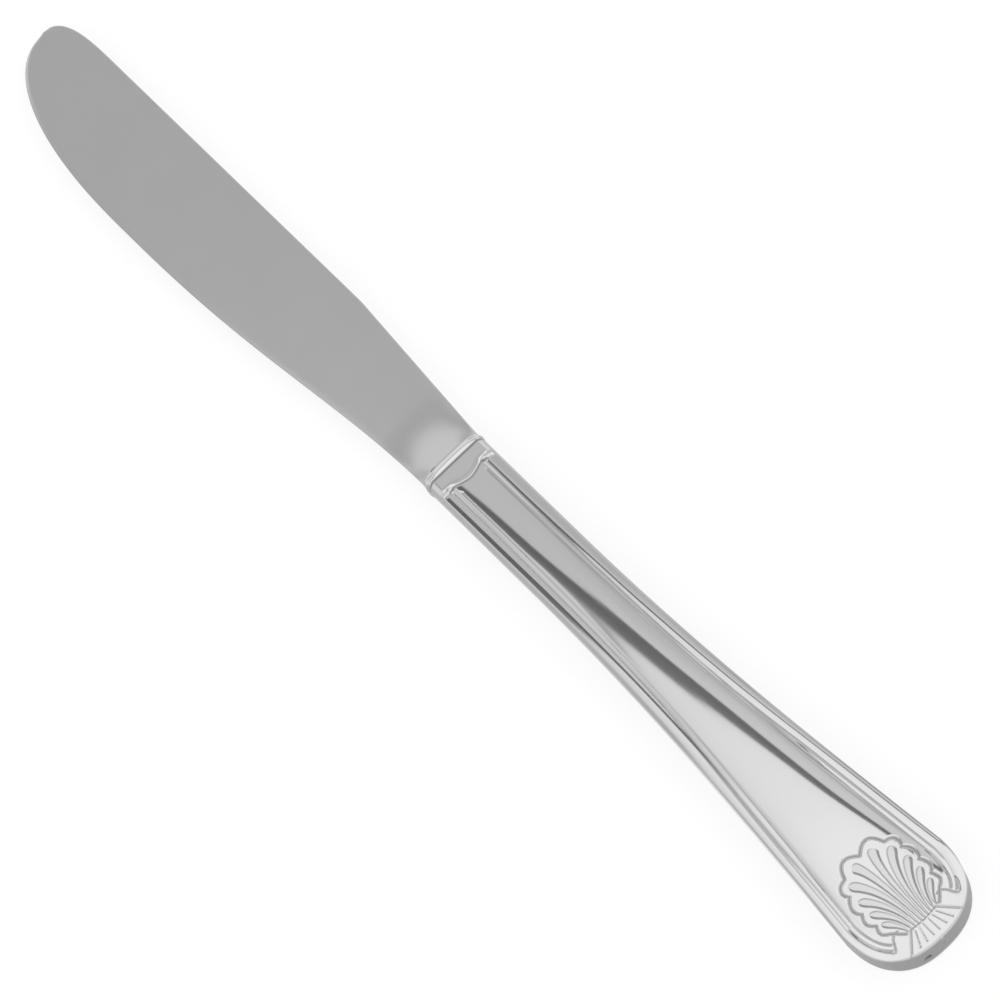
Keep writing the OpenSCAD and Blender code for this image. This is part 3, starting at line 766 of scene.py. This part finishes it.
def sheet_faces(rows, outer_cols, inner_cols):
    """Faces of the outer and inner surfaces, the seams, and the ends at the mouth and the butt."""
    o = np.arange(rows * outer_cols).reshape(rows, outer_cols)
    n = rows * outer_cols + np.arange(rows * inner_cols).reshape(rows, inner_cols)
    quads = [np.stack([o[:-1, :-1], o[1:, :-1], o[1:, 1:], o[:-1, 1:]], -1).reshape(-1, 4),
             np.stack([n[:-1, :-1], n[:-1, 1:], n[1:, 1:], n[1:, :-1]], -1).reshape(-1, 4),
             np.stack([o[:-1, 0], n[:-1, 0], n[1:, 0], o[1:, 0]], -1),
             np.stack([o[:-1, -1], o[1:, -1], n[1:, -1], n[:-1, -1]], -1),
             np.array([[o[-1, 0], n[-1, 0], n[-1, -1], o[-1, -1]]])]
    mouth = o[0].tolist() + n[0, ::-1].tolist()
    return np.concatenate(quads).tolist() + [mouth, o[-1, ::-1].tolist(), n[-1].tolist()]


def add_piece(name, verts, faces, sharp, painted_shade=None):
    """A smooth shaded mesh in the scene, with edges sharper than an angle in degrees kept sharp."""
    mesh = bpy.data.meshes.new(name)
    mesh.from_pydata((np.asarray(verts) * MM).tolist(), [], faces)
    mesh.shade_smooth()
    mesh.set_sharp_from_angle(angle=math.radians(sharp))
    mesh.update()
    # the painted shade is kept per point, for the handle's material to darken and roughen by
    if painted_shade is not None:
        values = mesh.attributes.new("painted_shade", "FLOAT", "POINT").data
        values.foreach_set("value", np.asarray(painted_shade, np.float32))
    obj = bpy.data.objects.new(name, mesh)
    scene.collection.objects.link(obj)
    return obj


def make_half(name, back):
    """One half shell of the handle; the back is mirrored, worn level and has the vent."""
    rim = rim_curve()
    out = outward(rim)
    outer, painted_shade = outer_surface(rim, out, back)
    painted_shade = swell_bead(outer, painted_shade)
    if back:
        sink_vent(outer)
    inner = inner_surface(rim, out, back)
    verts = np.concatenate([outer.reshape(-1, 3), inner.reshape(-1, 3)])
    faces = sheet_faces(len(rim), outer.shape[1], inner.shape[1])
    if back:
        verts[:, 2] *= -1
        faces = [f[::-1] for f in faces]
    verts[:, 2] += SEAM
    # the inner surface carries no painted shade
    unshaded_inside = np.zeros(inner.shape[0] * inner.shape[1])
    return add_piece(name, verts, faces, SHELL_SHARP, np.concatenate([painted_shade.ravel(), unshaded_inside]))


# Outline of the blade: its round tip, the corner between tip and spine, and the spine's fall to the bolster
TIP_Y = 0.32 * BELLY_DROP
CORNER_LEN = 0.7 * (SPINE_RISE + BELLY_DROP)
X_BELLY = X_TIP + BELLY_FROM_TIP
X_FALL = X_MOUTH - 0.29 * BLADE_LEN
CORNER_POWER, TIP_POWER, HEEL_POWER, BLUNT_SHARE = 3, 2.31, 1.27, 0.00015
# Rings of the blade: close together at the tip and in the heel, at an even step between
TIP_RINGS, TIP_RINGS_LEN, TIP_RINGS_POWER = 70, 14, 1.3
RING_STEP, X_EVEN, X_HEEL, HEEL_RINGS = 0.9, X_TIP + 14.7, X_MOUTH - 7.2, 46
# Across a ring: the spine's rounded corner, the flat side and the bevel, with the steps of each
ROUND_W, ROUND_MAX_SHARE, ROUND_START, ROUND_STEPS = 0.35, 0.2, 0.45, 6
BEVEL_MAX_SHARE, FLAT_STEPS, BEVEL_STEPS = 0.3, 34, 5
# The swell into the bolster, the curve of the bolster and the spigot, and the spigot's least half thickness
SWELL_LEN, SWELL_POWER, ARCH_POWER, SPIGOT_LEAST = 11.6, 2, 2.4, 0.1


def round_off(u, power):
    """Height of a round end, from 1 at u = 0 to almost 0 at u = 1."""
    return (1 - np.minimum(u, 1 - BLUNT_SHARE) ** power) ** (1 / power)


def spine_y(x):
    """Height of the spine in plan."""
    corner = np.clip((X_TIP + CORNER_LEN - x) / CORNER_LEN, 0, 1)
    tip = TIP_Y + (SPINE_RISE - TIP_Y) * round_off(corner, CORNER_POWER)
    fall = mix(SPINE_RISE, BOLSTER_W / 2, np.clip((x - X_FALL) / (X_MOUTH - X_FALL), 0, 1))
    return np.where(x < X_TIP + CORNER_LEN, tip, fall)


def edge_y(x):
    """Height of the cutting edge in plan, which is negative."""
    ahead = np.clip((X_BELLY - x) / (X_BELLY - X_TIP), 0, 1)
    tip = TIP_Y - (TIP_Y + BELLY_DROP) * round_off(ahead, TIP_POWER)
    behind = np.clip((x - X_BELLY) / (X_MOUTH - X_BELLY), 0, 1)
    heel = mix(-BELLY_DROP, -BOLSTER_W / 2, ease(behind ** HEEL_POWER))
    return np.where(x < X_BELLY, tip, heel)


def mouth_arch(u):
    """Half thickness of the handle at its mouth, for u from -1 to 1 across it."""
    return MOUTH_SIDE_H + (MOUTH_T / 2 - MOUTH_SIDE_H) * (1 - np.clip(np.abs(u), 0, 1) ** ARCH_POWER)


def blade_ring(x):
    """Upper half of the blade's ring at x, from the spine to the edge, as points from the seam's height."""
    top_y = float(spine_y(x))
    width = top_y - float(edge_y(x))
    spine_half = mix(TIP_T, HEEL_T, (x - X_TIP) / BLADE_LEN) / 2
    bevel = min(BEVEL_MAX_SHARE, BEVEL_W / width)
    corner = min(ROUND_MAX_SHARE, ROUND_W / width)
    across = np.concatenate([corner * (1 - np.cos(np.linspace(0, math.pi / 2, ROUND_STEPS))),
                             mix(corner, 1 - bevel, np.linspace(0, 1, FLAT_STEPS)[1:]),
                             mix(1 - bevel, 1, np.linspace(0, 1, BEVEL_STEPS)[1:])])
    flat_z = mix(spine_half, BEVEL_T / 2, across / (1 - bevel))
    bevel_z = mix(BEVEL_T / 2, EDGE_T / 2, (across - 1 + bevel) / bevel)
    z = np.where(across < 1 - bevel, flat_z, bevel_z)
    past_corner = np.clip(across / corner, 0, 1)
    z = z * mix(ROUND_START, 1, np.sqrt(1 - (1 - past_corner) ** 2))
    swell = np.clip((x - X_MOUTH + SWELL_LEN) / SWELL_LEN, 0, 1) ** SWELL_POWER
    z = mix(z, mouth_arch(2 * across - 1) * BOLSTER_T / MOUTH_T, swell)
    return np.c_[np.full(len(across), x), top_y - across * width, z]


def blade_rings():
    """Upper halves of all rings: the blade with its bolster, then the spigot and the tang in the handle."""
    t = np.linspace(0, 1, TIP_RINGS)
    tip = X_TIP + TIP_RINGS_LEN * (1 - np.cos(t * math.pi / 2)) ** TIP_RINGS_POWER
    even = np.arange(X_EVEN, X_HEEL - RING_STEP / 2, RING_STEP)
    heel = np.linspace(X_HEEL, X_MOUTH, HEEL_RINGS)
    rings = [blade_ring(x) for x in np.concatenate([tip, even, heel])]
    u = np.linspace(1, -1, len(rings[0]))
    spigot_half = MOUTH_W / 2 - SHEET - SOLDER_GAP
    spigot_z = np.maximum(mouth_arch(u) - SHEET - SOLDER_GAP, SPIGOT_LEAST)
    for x in (X_MOUTH, X_SPIGOT):
        rings.append(np.c_[np.full(len(u), x), spigot_half * u, spigot_z])
    for x, width in ((X_SPIGOT, TANG_W), (X_SPIGOT - SHEET + TANG_LEN, TANG_END_W)):
        rings.append(np.c_[np.full(len(u), x), width / 2 * u, np.full(len(u), TANG_T / 2)])
    return rings


def make_blade():
    """The forging of blade, bolster, spigot and tang as one closed mesh through its rings."""
    loops = [np.concatenate([ring, ring[::-1] * (1, 1, -1)]) for ring in blade_rings()]
    verts = np.concatenate(loops)
    verts[:, 2] += SEAM
    m = len(loops[0])
    here = np.arange(m)
    after = (here + 1) % m
    faces = []
    for k in range(0, (len(loops) - 1) * m, m):
        faces += np.stack([k + here, k + after, k + m + after, k + m + here], -1).tolist()
    faces.append(here[::-1].tolist())
    faces.append((len(verts) - m + here).tolist())
    return add_piece("blade_forged", verts, faces, BLADE_SHARP)


front = make_half("shell_front", False)
back = make_half("shell_back", True)
blade = make_blade()
for piece, node in ((front, "handle_shell_front"), (back, "handle_shell_back"), (blade, "blade")):
    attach(piece, "root")
    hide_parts(node)


# Materials: how far grain and clouds change the tone above its darkest, and what full painted shade does to
# it
TONE_DARKEST, GRAIN_TONE, CLOUD_TONE = 0.955, 0.05, 0.04
GRAIN_NOISE = {"Scale": 1.0, "Detail": 4.0, "Roughness": 0.6}
CLOUD_NOISE = {"Scale": 90.0, "Detail": 2.0, "Roughness": 0.5}
SHADE_DARKENS, SHADE_ROUGHENS = 0.6, 0.35


def grained(name, base, rough, rough_by, stretch, bump_by, with_painted_shade=False):
    """A metallic surface with a fine grain, finer along the axes that have the larger stretch."""
    mat = bpy.data.materials.new(name)
    mat.use_nodes = True
    t = mat.node_tree
    shader = t.nodes["Principled BSDF"]
    shader.inputs["Metallic"].default_value = 1.0
    place = wire(t, "ShaderNodeTexCoord").outputs["Object"]
    drawn = wire(t, "ShaderNodeMapping", {"Vector": place, "Scale": stretch}).outputs[0]
    grain = wire(t, "ShaderNodeTexNoise", {"Vector": drawn, **GRAIN_NOISE}).outputs[0]
    cloud = wire(t, "ShaderNodeTexNoise", {"Vector": place, **CLOUD_NOISE}).outputs[0]
    change = calc(t, "ADD", calc(t, "MULTIPLY", grain, GRAIN_TONE), calc(t, "MULTIPLY", cloud, CLOUD_TONE))
    tone = calc(t, "ADD", change, TONE_DARKEST)
    limits = {"To Min": rough - rough_by, "To Max": rough + rough_by}
    roughness = wire(t, "ShaderNodeMapRange", {"Value": grain, **limits}).outputs[0]
    # painted shade darkens the colour and raises the roughness where the points carry it
    if with_painted_shade:
        painted_shade = wire(t, "ShaderNodeAttribute", attribute_name="painted_shade").outputs["Fac"]
        tone = calc(t, "MULTIPLY", tone, calc(t, "MULTIPLY_ADD", painted_shade, -SHADE_DARKENS, 1.0))
        roughness = calc(t, "MULTIPLY_ADD", painted_shade, SHADE_ROUGHENS, roughness)
    grey = wire(t, "ShaderNodeCombineColor", {0: tone, 1: tone, 2: tone}).outputs[0]
    parts = {0: 1.0, 6: (*base, 1), 7: grey}
    colour = wire(t, "ShaderNodeMix", parts, data_type="RGBA", blend_type="MULTIPLY").outputs[2]
    bump = wire(t, "ShaderNodeBump", {"Height": grain, "Strength": 1.0, "Distance": bump_by}).outputs[0]
    for key, socket in (("Base Color", colour), ("Roughness", roughness), ("Normal", bump)):
        t.links.new(socket, shader.inputs[key])
    return mat


# Polished handle with painted shade, ground blade, satin solder, dull pin and hard cement
handle_steel = grained("handle_polished", base=(0.6, 0.6, 0.6), rough=0.04, rough_by=0.015,
                       stretch=(900, 5000, 5000), bump_by=4e-8, with_painted_shade=True)
blade_steel = grained("blade_ground", base=(0.5, 0.5, 0.5), rough=0.24, rough_by=0.05,
                      stretch=(300, 6000, 6000), bump_by=5e-7)
solder = grained("solder_satin", base=(0.5, 0.5, 0.48), rough=0.4, rough_by=0.08,
                 stretch=(2000, 2000, 2000), bump_by=1e-6)
pin_metal = grained("pin_oxidised", base=(0.16, 0.16, 0.16), rough=0.5, rough_by=0.1,
                    stretch=(3000, 3000, 3000), bump_by=2e-6)
cement = grained("cement_hard", base=(0.3, 0.28, 0.25), rough=0.8, rough_by=0.1,
                 stretch=(1500, 1500, 1500), bump_by=5e-6)
for piece, mat in ((front, handle_steel), (back, handle_steel), (blade, blade_steel)):
    piece.data.materials.append(mat)
kept_nodes = {"seam_solder": solder, "mouth_solder": solder, "cement_filling": cement, "vent_pin": pin_metal}
for node, mat in kept_nodes.items():
    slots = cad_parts[node].data.materials
    if len(slots):
        slots[0] = mat
    else:
        slots.append(mat)

scene.view_settings.view_transform = "Standard"
